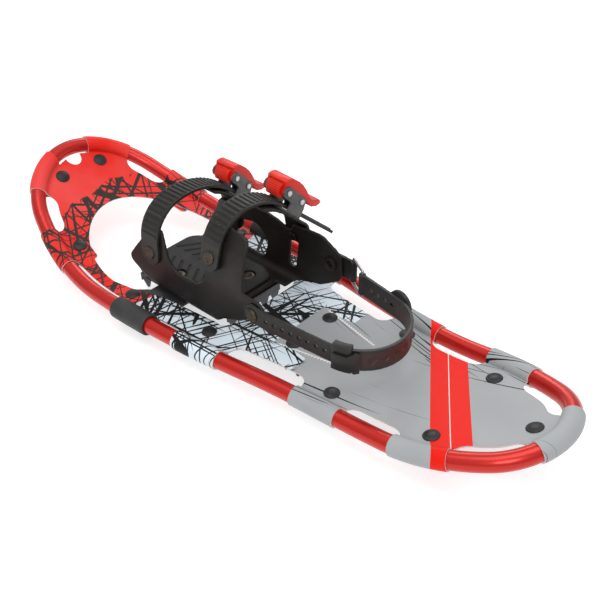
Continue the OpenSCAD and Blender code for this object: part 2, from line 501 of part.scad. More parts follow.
// ---- ratchet buckles, drawn in [along, out] with the lever pin and pawl pin at ----
pin_a = [-5.2, 12.4];
pin_b = [15.7, 11.2];
cheek_in = ladder_w / 2 + 0.7;
cheek_t = 2.1;
module at_pin(p, x0, x1, r) translate([x0, p[0], p[1]])
  rotate([0, 90, 0]) cylinder(h = x1 - x0, r = r, $fn = 40);
module buckle_base(i) buckle_frame(i) difference() {
  union() {
    translate([-cheek_in - cheek_t, -4, -3.7]) cube([2 * (cheek_in + cheek_t), 28, 1.8]);
    for (x = [-cheek_in - cheek_t, cheek_in]) {
      along_x(x, x + cheek_t) polygon(rounded([[4.5, -3.7, 0], [24, -3.7, 1], [23.4, 5, 3], [20.3, 15.2, 5],
        [9, 16.6, 4], [-3, 17.6, 3], [-9.5, 14, 3], [-8, 7.5, 2], [4, 5.6, 3]]));
      at_pin(pin_a, x, x + cheek_t, 5.8);
    }
  }
  at_pin(pin_a, -20, 20, pin_r);
  at_pin(pin_b, -20, 20, pin_r);
  translate([0, base_rivet_u, -6]) cylinder(h = 10, r = 2.55, $fn = 32);
}
module buckle_base_front() color(gry) raised() buckle_base(0);
module buckle_base_rear() color(gry) raised() buckle_base(1);
module buckle_pins() color(steel) raised() for (i = [0, 1], p = [pin_a, pin_b]) buckle_frame(i) {
  at_pin(p, -cheek_in - cheek_t - 0.6, cheek_in + cheek_t + 0.6, pin_r);
  at_pin(p, -cheek_in - cheek_t - 1, -cheek_in - cheek_t, 2.7);
  at_pin(p, cheek_in + cheek_t, cheek_in + cheek_t + 1, 2.7);
}
// lever: top skin with a flange down each side, turning on the lever pin
lever_w = cheek_in - 0.4;
skin_out = concat([for (j = [0:5]) pin_a + (11.3 + 0.5 * j) * [cos(140 - j * 9), sin(140 - j * 9)]],
  [[3, 26.4], [10, 25.4], [17, 23], [22.5, 20.4], [27.5, 18.3], [32, 18], [39.5, 21.4], [42.6, 20.4]]);
skin_in = concat([[42.6, 17.8], [40, 14.6], [33.8, 11.6], [29.5, 12.2], [21, 17.8], [12.5, 22], [4, 23.8]],
  [for (j = [0:5]) pin_a + (11.2 - 0.45 * j) * [cos(95 + j * 9), sin(95 + j * 9)]]);
lever_skin = concat(skin_out, skin_in);
lever_side = concat([for (j = [0:5]) pin_a + (10.7 + 0.5 * j) * [cos(138 - j * 8.4), sin(138 - j * 8.4)]],
  [[3, 25.7], [10, 24.7], [17, 22.2], [22.5, 19.6], [30, 15.5], [29.3, 12.5], [21, 13.4], [17, 16.4], [4, 16.2],
    [0, 11], [-5.2, 7.4], [-10.4, 12.4]]);
module lever(i) buckle_frame(i) difference() {
  union() {
    along_x(-lever_w, lever_w) polygon(lever_skin);
    for (x = [-lever_w, lever_w - 3]) {
      along_x(x, x + 3) polygon(lever_side);
      at_pin(pin_a, x, x + 3, 5);
    }
  }
  at_pin(pin_a, -20, 20, pin_r + 0.06);
}
module lever_front() color(orange) raised() lever(0);
module lever_rear() color(orange) raised() lever(1);
// ribbed thumb barrel on the same pin: turning it lifts the pawl out of the ribs
barrel_r = 8.6;
barrel_w = lever_w - 3.3;
barrel = concat([pin_a + barrel_r * [cos(114), sin(114)]],
  [for (a = [120:14:246]) each [pin_a + barrel_r * [cos(a), sin(a)], pin_a + barrel_r * [cos(a + 8), sin(a + 8)],
    pin_a + (barrel_r - 1) * [cos(a + 9.5), sin(a + 9.5)], pin_a + (barrel_r - 1) * [cos(a + 12.5), sin(a + 12.5)]]],
  [pin_a + 3.6 * [cos(282), sin(282)], pin_a + 3.6 * [cos(330), sin(330)], pin_a + 5 * [cos(75), sin(75)]]);
module thumb_pad(i) buckle_frame(i) difference() {
  union() {
    along_x(-barrel_w, barrel_w) polygon(barrel);
    along_x(-5.2, 5.2) polygon([[-8, 14.4], [-5.2, 17.2], [9.5, 14.4], [9.5, 12.4], [2, 11], [-1.5, 8.9],
      [-5.2, 8.4], [-8, 10]]);
  }
  at_pin(pin_a, -20, 20, pin_r + 0.06);
}
module thumb_pad_front() color(orange) raised() thumb_pad(0);
module thumb_pad_rear() color(orange) raised() thumb_pad(1);
module pawl(i) buckle_frame(i) difference() {
  union() {
    along_x(-7.5, 7.5) polygon([[6.8, 11.6], [6.8, 9.8], [12, 7.4], [17.9, 5], [19.9, 1.9], [21, 1.9],
      [21.6, 6], [19.6, 12], [15.7, 14.4], [11.4, 11.6]]);
    at_pin(pin_b, -7.5, 7.5, 3.4);
  }
  at_pin(pin_b, -20, 20, pin_r + 0.06);
}
module pawl_front() color(steel) raised() pawl(0);
module pawl_rear() color(steel) raised() pawl(1);

// ---- heel strap, turning about Y at the wing ears; near side arm, clip, strap round the heel ----
// the strap's ends lie against the outside of the wings
arm_y = cradle_half + cradle_t / 2 + 0.4 + heel_t / 2;
module drooped() translate([heel_x, 0, heel_z]) rotate([0, -heel_droop, 0])
  translate([-heel_x, 0, -heel_z]) children();
far_turn = 8;
function heel_arc(a0, a1, n) = [for (j = [0:n]) let (a = a0 + (a1 - a0) * j / n)
  [heel_cx, heel_cy] + heel_cr * [cos(a), sin(a)]];
far_start = [heel_cx, heel_cy] + heel_cr * [cos(270 - far_turn), sin(270 - far_turn)];
function far_run(d) = far_start + d * [cos(far_turn), -sin(far_turn)];
bar_rear = far_run(46);
bar_front = [heel_x - 24, -arm_y];
ring_dir = bar_front - bar_rear;
ring_half = norm(ring_dir) / 2;
clip_a = [96, 119];
module wall_strip(path, t, z0, z1) translate([0, 0, z0]) linear_extrude(z1 - z0) polygon(band(path, t));
z_lo = heel_z - heel_h / 2; z_hi = heel_z + heel_h / 2;
module heel_eye(y, r) translate([heel_x, y, heel_z]) rotate([90, 0, 0])
  cylinder(h = heel_t, r = r, center = true, $fn = 64);
module heel_bore(r) translate([heel_x, 0, heel_z]) rotate([90, 0, 0])
  cylinder(h = 200, r = r, center = true, $fn = 40);
module heel_strap_arm() color(blk) raised() drooped() difference() {
  union() {
    wall_strip(concat([[heel_x, arm_y], [heel_x - 15, arm_y]], heel_arc(98, 108, 3)), heel_t, heel_z - arm_h / 2,
      heel_z + arm_h / 2);
    heel_eye(arm_y, 9.5);
  }
  heel_bore(3.06);
  for (j = [0:7]) translate([-50.5 - 8.9 * j, 0, heel_z]) rotate([90, 0, 0])
    cylinder(h = 200, r = 2, center = true, $fn = 24);
  clip_pin(2.1);
}
module clip_pin(r) translate([heel_cx, heel_cy, heel_z]) rotate([0, 0, 103]) translate([heel_cr - 2.5, 0, 0])
  rotate([0, 90, 0]) cylinder(h = 6, r = r, $fn = 32);
module heel_clip() color(blk) raised() drooped() difference() {
  wall_strip(heel_arc(clip_a[0], clip_a[1], 4), 7.4, z_lo - 2.2, z_hi + 2.2);
  wall_strip(heel_arc(clip_a[0] - 1, clip_a[1] + 1, 4), heel_t + 0.3, z_lo - 0.15, z_hi + 0.15);
  clip_pin(2.1);
}
module clip_hook() color(gry) raised() drooped() {
  intersection() {
    wall_strip([for (p = heel_arc(99, 128, 6)) [heel_cx, heel_cy] + (p - [heel_cx, heel_cy]) * 1.125],
      2.4, z_lo, z_hi);
    translate([heel_cx, heel_cy, heel_z]) rotate([0, 0, 112]) translate([30, 0, 0]) rotate([90, 0, 90])
      linear_extrude(40) polygon([[-14, -6], [2, -6], [9, -11], [14, -9], [14, 9], [9, 11], [2, 6], [-14, 6]]);
  }
  clip_pin(1.9);
}
module heel_strap_back() color(blk) raised() drooped() difference() {
  union() {
    wall_strip(concat(heel_arc(109, 270 - far_turn, 18), [far_run(20), far_run(44.5)]), heel_t, z_lo, z_hi);
    translate([bar_rear[0], bar_rear[1], z_lo]) cylinder(h = heel_h, r = 3.4, $fn = 32);
  }
  translate([bar_rear[0], bar_rear[1], z_lo - 1]) cylinder(h = heel_h + 2, r = 1.65, $fn = 32);
  for (a = [142:15:218]) translate([heel_cx, heel_cy, heel_z]) rotate([0, 0, a]) rotate([45, 0, 0])
    translate([heel_cr + heel_t / 2 - 1.1, -3, -3]) cube([5, 6, 6]);
  for (d = [6, 15, 24, 33]) translate([far_run(d)[0], far_run(d)[1], heel_z]) rotate([90, 0, -far_turn])
    cylinder(h = 12, r = 2, center = true, $fn = 24);
}
module heel_ring() color(steel) raised() drooped() {
  mid = (bar_rear + bar_front) / 2;
  translate([mid[0], mid[1], heel_z]) rotate([0, 0, atan2(ring_dir[1], ring_dir[0])]) {
    for (x = [-ring_half, ring_half]) translate([x, 0, -14]) cylinder(h = 28, r = 1.5, $fn = 32);
    for (z = [-14, 14]) {
      translate([-ring_half, 0, z]) rotate([0, 90, 0]) cylinder(h = 2 * ring_half, r = 1.5, $fn = 32);
      for (x = [-ring_half, ring_half]) translate([x, 0, z]) sphere(r = 1.5, $fn = 32);
    }
  }
}
module heel_anchor() color(blk) raised() drooped() difference() {
  union() {
    wall_strip([[heel_x, -arm_y], [bar_front[0] + 1.5, -arm_y]], heel_t, z_lo, z_hi);
    heel_eye(-arm_y, heel_h / 2);
    translate([bar_front[0], bar_front[1], z_lo]) cylinder(h = heel_h, r = 3.4, $fn = 32);
  }
  heel_bore(5.06);
  translate([bar_front[0], bar_front[1], z_lo - 1]) cylinder(h = heel_h + 2, r = 1.65, $fn = 32);
}
module thumb_tab() color(blk) raised() drooped()
  translate([far_run(0)[0], far_run(0)[1], heel_z + 3]) rotate([90, 0, -far_turn])
  translate([0, 0, heel_t / 2 + 0.1]) {
    cylinder(h = 3.2, r = 13, $fn = 64);
    for (x = [-8:4:8]) translate([x - 0.8, -7, 3]) cube([1.6, 14, 1.2]);
  }
arm_out = arm_y + heel_t / 2;
wing_in = cradle_half - cradle_t / 2 - 0.7;
module heel_pivot_rivet() color(gry) raised() translate([heel_x, 0, heel_z]) rotate([-90, 0, 0]) {
  translate([0, 0, wing_in - 1]) cylinder(h = arm_out + 1.7 - wing_in, r = 3, $fn = 40);
  translate([0, 0, arm_out + 0.3]) rotate_extrude($fn = 48)
    polygon([[0, 0], [6.6, 0], [6.6, 0.6], [5.6, 1.6], [4, 1.6], [3.6, 1.2], [0, 1.2]]);
  translate([0, 0, wing_in - 1.2]) cylinder(h = 1.2, r = 5.4, $fn = 40);
}
module heel_eyelet() color(steel) raised() translate([heel_x, 0, heel_z]) rotate([90, 0, 0]) difference() {
  union() {
    translate([0, 0, wing_in - 1]) cylinder(h = arm_out + 1.7 - wing_in, r = 5, $fn = 48);
    translate([0, 0, arm_out + 0.3]) cylinder(h = 1.2, r = 7.4, $fn = 48);
    translate([0, 0, wing_in - 1.2]) cylinder(h = 1.2, r = 7.4, $fn = 48);
  }
  translate([0, 0, 40]) cylinder(h = 30, r = 3.2, $fn = 40);
}

frame_tube();
tail_plug();
deck();
deck_rivets();
rivet_washers();
pivot_band_ends();
pivot_rivets();
heel_crampon();
crampon_rivets();
binding_cradle();
footbed_pad();
base_rivets();
pivot_band_middle();
toe_crampon();
ladder_strap_front();
ladder_strap_rear();
strap_rivets();
mount_strap_front();
mount_strap_rear();
mount_rivets();
buckle_base_front();
buckle_base_rear();
buckle_pins();
lever_front();
lever_rear();
thumb_pad_front();
thumb_pad_rear();
pawl_front();
pawl_rear();
heel_pivot_rivet();
heel_eyelet();
heel_strap_arm();
heel_clip();
clip_hook();
heel_strap_back();
heel_anchor();
heel_ring();
thumb_tab();
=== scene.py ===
import bisect
import math

import bmesh
import bpy
import numpy as np
from mathutils import Matrix, Vector
from mathutils.geometry import delaunay_2d_cdt


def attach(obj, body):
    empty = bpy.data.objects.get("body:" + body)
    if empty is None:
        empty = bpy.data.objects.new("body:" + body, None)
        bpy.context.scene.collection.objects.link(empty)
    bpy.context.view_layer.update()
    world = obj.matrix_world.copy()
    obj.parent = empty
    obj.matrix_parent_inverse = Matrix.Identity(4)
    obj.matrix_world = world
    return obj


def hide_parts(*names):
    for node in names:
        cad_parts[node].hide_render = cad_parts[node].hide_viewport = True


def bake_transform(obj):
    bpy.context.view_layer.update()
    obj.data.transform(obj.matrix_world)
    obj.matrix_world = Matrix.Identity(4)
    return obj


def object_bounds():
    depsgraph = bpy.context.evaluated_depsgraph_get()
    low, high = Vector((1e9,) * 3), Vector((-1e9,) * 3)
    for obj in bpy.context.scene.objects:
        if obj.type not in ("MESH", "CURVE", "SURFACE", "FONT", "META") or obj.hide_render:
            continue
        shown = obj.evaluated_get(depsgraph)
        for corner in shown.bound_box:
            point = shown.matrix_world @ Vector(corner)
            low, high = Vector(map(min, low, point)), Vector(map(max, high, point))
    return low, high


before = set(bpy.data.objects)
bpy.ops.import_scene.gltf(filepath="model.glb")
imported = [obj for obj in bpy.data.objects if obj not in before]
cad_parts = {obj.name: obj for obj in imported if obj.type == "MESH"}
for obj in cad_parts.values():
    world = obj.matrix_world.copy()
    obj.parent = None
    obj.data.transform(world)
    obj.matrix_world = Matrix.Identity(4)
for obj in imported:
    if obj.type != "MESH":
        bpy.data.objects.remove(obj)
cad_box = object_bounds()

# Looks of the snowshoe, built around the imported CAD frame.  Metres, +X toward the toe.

MM = 0.001
# millimetre values of the CAD part that the pieces below follow
GROUND = 12.0          # underside of the side rails above the ground
LENGTH = 635.0
TUBE_R = 8.0
NOSE_START, NOSE_R = 135.0, 223.0
TAIL_START, TAIL_R = -136.0, 459.0
ARCS = [(57, 64.3), (196, 25.4), (-1057, -8.2), (1139, 10.1), (313, 18.8)]
SHEET_T = 1.2
scene = bpy.context.scene


# ---------------------------------------------------------------- frame line
def sin(a):
    return math.sin(math.radians(a))


def cos(a):
    return math.cos(math.radians(a))


def arc_end(p, h, r, a):
    return (p[0] + r * (sin(h) - sin(h - a)), p[1] + r * (cos(h - a) - cos(h)))


class FrameLine:
    """Tangent arcs from the tail tip round to the nose, mirrored for the right side."""

    def __init__(self):
        p, h, self.arcs = (0.0, 0.0), 90.0, []
        for r, a in ARCS:
            self.arcs.append((p, h, r, a))
            p, h = arc_end(p, h, r, a), h - a
        nose_r = p[1] / cos(h)
        self.arcs.append((p, h, nose_r, 90 + h))
        tip = arc_end(p, h, nose_r, 90 + h)[0]
        self.span = LENGTH - 2 * TUBE_R
        self.k = self.span / tip
        self.ends = []
        for _, _, r, a in self.arcs:
            length = self.k * abs(r * math.radians(a))
            self.ends.append(length + (self.ends[-1] if self.ends else 0.0))
        self.half = self.ends[-1]

    def at(self, u):
        """x, y and heading at arc length u, from 0 at the tail tip to twice half."""
        u %= 2 * self.half
        if u > self.half:
            x, y, h = self.at(2 * self.half - u)
            return x, -y, 180 - h
        i = min(bisect.bisect_left(self.ends, u), len(self.arcs) - 1)
        p, h, r, a = self.arcs[i]
        start = self.ends[i - 1] if i else 0.0
        turn = a * (u - start) / (self.ends[i] - start)
        x, y = arc_end(p, h, r, turn)
        return self.k * x - self.span / 2, self.k * y, h - turn

    def inside(self, u, d):
        x, y, h = self.at(u)
        return x + d * sin(h), y - d * cos(h)


line = FrameLine()


def lift(x):
    """Height of the tube's middle and of the deck above the rails' underside."""
    nose, tail = max(x - NOSE_START, 0.0), max(TAIL_START - x, 0.0)
    return TUBE_R + nose * nose / 2 / NOSE_R + tail * tail / 2 / TAIL_R


def slope(x):
    return max(x - NOSE_START, 0.0) / NOSE_R - max(TAIL_START - x, 0.0) / TAIL_R


# ---------------------------------------------------------------- mesh helpers
def add_object(name, mesh):
    obj = bpy.data.objects.new(name, mesh)
    scene.collection.objects.link(obj)
    return obj


def mesh_object(name, verts_mm, faces, angle=40.0):
    """Mesh from CAD millimetres above the rails' underside, smooth up to an edge angle."""
    mesh = bpy.data.meshes.new(name)
    mesh.from_pydata([(x * MM, y * MM, (z + GROUND) * MM) for x, y, z in verts_mm], [], faces)
    mesh.validate()
    obj = add_object(name, mesh)
    bm = bmesh.new()
    bm.from_mesh(mesh)
    bmesh.ops.recalc_face_normals(bm, faces=bm.faces)
    bm.to_mesh(mesh)
    bm.free()
    smooth_by_angle(obj, angle)
    return obj


def smooth_by_angle(obj, angle):
    mesh = obj.data
    mesh.polygons.foreach_set("use_smooth", [True] * len(mesh.polygons))
    bm = bmesh.new()
    bm.from_mesh(mesh)
    limit = math.radians(angle)
    for e in bm.edges:
        e.smooth = len(e.link_faces) == 2 and e.calc_face_angle(0.0) < limit
    bm.to_mesh(mesh)
    bm.free()


def apply_modifiers(obj):
    graph = bpy.context.evaluated_depsgraph_get()
    mesh = bpy.data.meshes.new_from_object(obj.evaluated_get(graph))
    old = obj.data
    obj.modifiers.clear()
    obj.data = mesh
    bpy.data.meshes.remove(old)
    return obj


def copy_of(name, *nodes):
    """A new object that holds copies of the CAD nodes' meshes."""
    bm = bmesh.new()
    for n in nodes:
        bm.from_mesh(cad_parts[n].data)
    bmesh.ops.remove_doubles(bm, verts=bm.verts, dist=2e-6)
    mesh = bpy.data.meshes.new(name)
    bm.to_mesh(mesh)
    bm.free()
    return add_object(name, mesh)


def moulded(name, nodes, voxel, rounds, piece=None):
    """Rubber or plastic moulding: the CAD shape with its edges rounded by remeshing."""
    obj = piece or copy_of(name, *nodes)
    m = obj.modifiers.new("remesh", "REMESH")
    m.mode = "VOXEL"
    m.voxel_size = voxel * MM
    m = obj.modifiers.new("soften", "SMOOTH")
    m.factor = 0.5
    m.iterations = rounds
    apply_modifiers(obj)
    smooth_by_angle(obj, 60)
    return obj


def edged(name, nodes, width):
    """Hard moulding or plate: the CAD shape with a small bevel on each sharp edge."""
    obj = copy_of(name, *nodes)
    bm = bmesh.new()
    bm.from_mesh(obj.data)
    bmesh.ops.dissolve_limit(bm, angle_limit=math.radians(1.5), verts=bm.verts, edges=bm.edges)
    bm.to_mesh(obj.data)
    bm.free()
    m = obj.modifiers.new("bevel", "BEVEL")
    m.width = width * MM
    m.segments = 2
    m.limit_method = "ANGLE"
    m.angle_limit = math.radians(38)
    m.use_clamp_overlap = True
    apply_modifiers(obj)
    smooth_by_angle(obj, 34)
    return obj


def finish(obj, body, material, nodes):
    obj.data.materials.clear()
    obj.data.materials.append(material)
    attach(obj, body)
    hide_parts(*nodes)
    return obj


def lathe(name, profile, places):
    """One object with the profile (radius, height in mm) turned at each placement matrix."""
    verts, faces, turns = [], [], 40
    for place in places:
        base = len(verts)
        for r, z in profile:
            for j in range(turns):
                a = 2 * math.pi * j / turns
                v = place @ Vector((r * math.cos(a), r * math.sin(a), z))
                verts.append(tuple(v))
        for i in range(len(profile) - 1):
            for j in range(turns):
                k = (j + 1) % turns
                a, b = base + i * turns, base + (i + 1) * turns
                faces.append((a + j, a + k, b + k, b + j))
        faces.append(tuple(base + j for j in range(turns)))
        top = base + (len(profile) - 1) * turns
        faces.append(tuple(top + j for j in range(turns)))
    return mesh_object(name, verts, faces, 35)


# ---------------------------------------------------------------- materials
class Mat:
    """Small builder for a procedural Principled material."""

    def __init__(self, name, rough=0.5, metallic=0.0, **sockets):
        self.mat = bpy.data.materials.new(name)
        self.mat.use_nodes = True
        self.tree = self.mat.node_tree
        self.bsdf = self.tree.nodes["Principled BSDF"]
        self.bsdf.inputs["Roughness"].default_value = rough
        self.bsdf.inputs["Metallic"].default_value = metallic
        for key, value in sockets.items():
            self.bsdf.inputs[key.replace("_", " ")].default_value = value
        self.coords = self.node("ShaderNodeTexCoord").outputs["Object"]

    def node(self, kind, **values):
        n = self.tree.nodes.new(kind)
        for key, value in values.items():
            setattr(n, key, value)
        return n

    def link(self, a, b):
        self.tree.links.new(a, b)

    def put(self, socket, value):
        if isinstance(value, bpy.types.NodeSocket):
            self.link(value, socket)
        elif value is not None:
            socket.default_value = value

    def math(self, op, a, b=None):
        n = self.node("ShaderNodeMath", operation=op)
        for s, v in zip(n.inputs, (a, b)):
            self.put(s, v)
        return n.outputs[0]

    def mapped(self, scale=(1, 1, 1), turn=(0, 0, 0), move=(0, 0, 0)):
        """Coordinates turned about the origin, then multiplied by scale."""
        n = self.node("ShaderNodeMapping", vector_type="TEXTURE")
        n.inputs["Scale"].default_value = [1.0 / v for v in scale]
        n.inputs["Rotation"].default_value = [math.radians(a) for a in turn]
        n.inputs["Location"].default_value = move
        self.link(self.coords, n.inputs["Vector"])
        return n.outputs[0]

    def noise(self, scale, detail=3.0, rough=0.55, vector=None):
        n = self.node("ShaderNodeTexNoise")
        n.inputs["Scale"].default_value = scale
        n.inputs["Detail"].default_value = detail
        n.inputs["Roughness"].default_value = rough
        self.link(vector or self.coords, n.inputs["Vector"])
        return n.outputs["Fac"]

    def voronoi(self, scale):
        n = self.node("ShaderNodeTexVoronoi", feature="F1")
        n.inputs["Scale"].default_value = scale
        self.link(self.coords, n.inputs["Vector"])
        return n.outputs["Distance"]

    def step(self, value, low, high):
        """0 below low, 1 above high."""
        n = self.node("ShaderNodeMapRange", interpolation_type="SMOOTHSTEP")
        self.put(n.inputs["Value"], value)
        n.inputs["From Min"].default_value = low
        n.inputs["From Max"].default_value = high
        return n.outputs["Result"]

    def span(self, value, low, high):
        """Value from 0..1 spread over low..high."""
        n = self.node("ShaderNodeMapRange")
        self.put(n.inputs["Value"], value)
        n.inputs["To Min"].default_value = low
        n.inputs["To Max"].default_value = high
        return n.outputs["Result"]

    def mix(self, factor, a, b):
        n = self.node("ShaderNodeMix", data_type="RGBA")
        self.put(n.inputs["Factor"], factor)
        for socket, value in ((n.inputs["A"], a), (n.inputs["B"], b)):
            if isinstance(value, tuple):
                value = value + (1.0,)
            self.put(socket, value)
        return n.outputs["Result"]

    def bump(self, height, strength, distance):
        n = self.node("ShaderNodeBump")
        n.inputs["Strength"].default_value = strength
        n.inputs["Distance"].default_value = distance
        self.link(height, n.inputs["Height"])
        self.link(n.outputs[0], self.bsdf.inputs["Normal"])

    def colour(self, value):
        self.link(value, self.bsdf.inputs["Base Color"])

    def roughness(self, value):
        self.link(value, self.bsdf.inputs["Roughness"])

    def edges(self):
        """Mask of the convex edges, used to paint a lighter highlight on them."""
        n = self.node("ShaderNodeNewGeometry")
        return self.step(n.outputs["Pointiness"], 0.52, 0.60)


def rubber(name, dark, light, grain=900.0, rough=0.55, edge=0.35):
    """Moulded TPU: fine pebble grain, faint mottling, paler convex edges as a painted highlight."""
    m = Mat(name, rough, Specular_IOR_Level=0.24)
    mottle = m.noise(35.0, 4.0)
    base = m.mix(m.step(mottle, 0.35, 0.7), dark, light)
    # painted highlight: the convex edges are mixed toward a paler grey
    edge_highlight = m.math("MULTIPLY", m.edges(), edge)
    m.colour(m.mix(edge_highlight, base, tuple(min(1.0, c * 2.6 + 0.01) for c in light)))
    m.roughness(m.span(m.noise(120.0, 3.0), rough - 0.10, rough + 0.10))
    grit = m.math("ADD", m.noise(grain, 2.0), m.math("MULTIPLY", m.voronoi(grain * 0.6), 0.5))
    m.bump(grit, 0.25, 0.00012)
    return m.mat


def tube_paint():
    """Metallic red coat with a clear top, fine orange peel and small scuffs."""
    m = Mat("tube_paint", 0.33, 0.55, Coat_Weight=0.30, Coat_Roughness=0.12)
    flake = m.voronoi(2600.0)
    base = m.mix(m.step(flake, 0.1, 0.6), (0.42, 0.005, 0.002), (0.52, 0.010, 0.004))
    scuff = m.step(m.noise(60.0, 5.0, 0.7, m.mapped((0.35, 1, 1))), 0.68, 0.74)
    m.colour(m.mix(m.math("MULTIPLY", scuff, 0.18), base, (0.40, 0.03, 0.02)))
    m.roughness(m.math("ADD", m.span(m.noise(240.0, 3.0), 0.27, 0.40), m.math("MULTIPLY", scuff, 0.15)))
    m.bump(m.noise(420.0, 2.0), 0.06, 0.0002)
    return m.mat


def steel(name, colour, rough, grain=(1, 40, 1)):
    """Brushed or plated metal."""
    m = Mat(name, rough, 1.0)
    brush = m.noise(90.0, 4.0, 0.6, m.mapped(grain))
    m.colour(m.mix(m.step(brush, 0.3, 0.7), colour, tuple(c * 0.72 for c in colour)))
    m.roughness(m.span(brush, rough - 0.08, rough + 0.12))
    m.bump(brush, 0.10, 0.0001)
    return m.mat


def lever_red():
    m = Mat("lever_red", 0.34, Specular_IOR_Level=0.3)
    base = m.mix(m.step(m.noise(45.0, 3.0), 0.3, 0.7), (0.56, 0.009, 0.004), (0.64, 0.014, 0.006))
    # painted highlight: the convex edges are mixed toward a brighter red
    m.colour(m.mix(m.math("MULTIPLY", m.edges(), 0.30), base, (0.85, 0.09, 0.045)))
    m.roughness(m.span(m.noise(300.0, 3.0), 0.26, 0.44))
    m.bump(m.noise(1300.0, 2.0), 0.12, 0.00008)
    return m.mat


def buckle_body():
    """Grey glass-filled plastic with fine light speckles."""
    m = Mat("buckle_body", 0.5)
    speck = m.step(m.noise(1500.0, 2.0), 0.60, 0.68)
    base = m.mix(m.step(m.noise(60.0), 0.3, 0.7), (0.050, 0.050, 0.052), (0.075, 0.075, 0.078))
    m.colour(m.mix(m.math("MULTIPLY", speck, 0.7), base, (0.24, 0.24, 0.25)))
    m.roughness(m.span(m.noise(400.0), 0.4, 0.6))
    m.bump(m.noise(1100.0, 2.0), 0.3, 0.0001)
    return m.mat


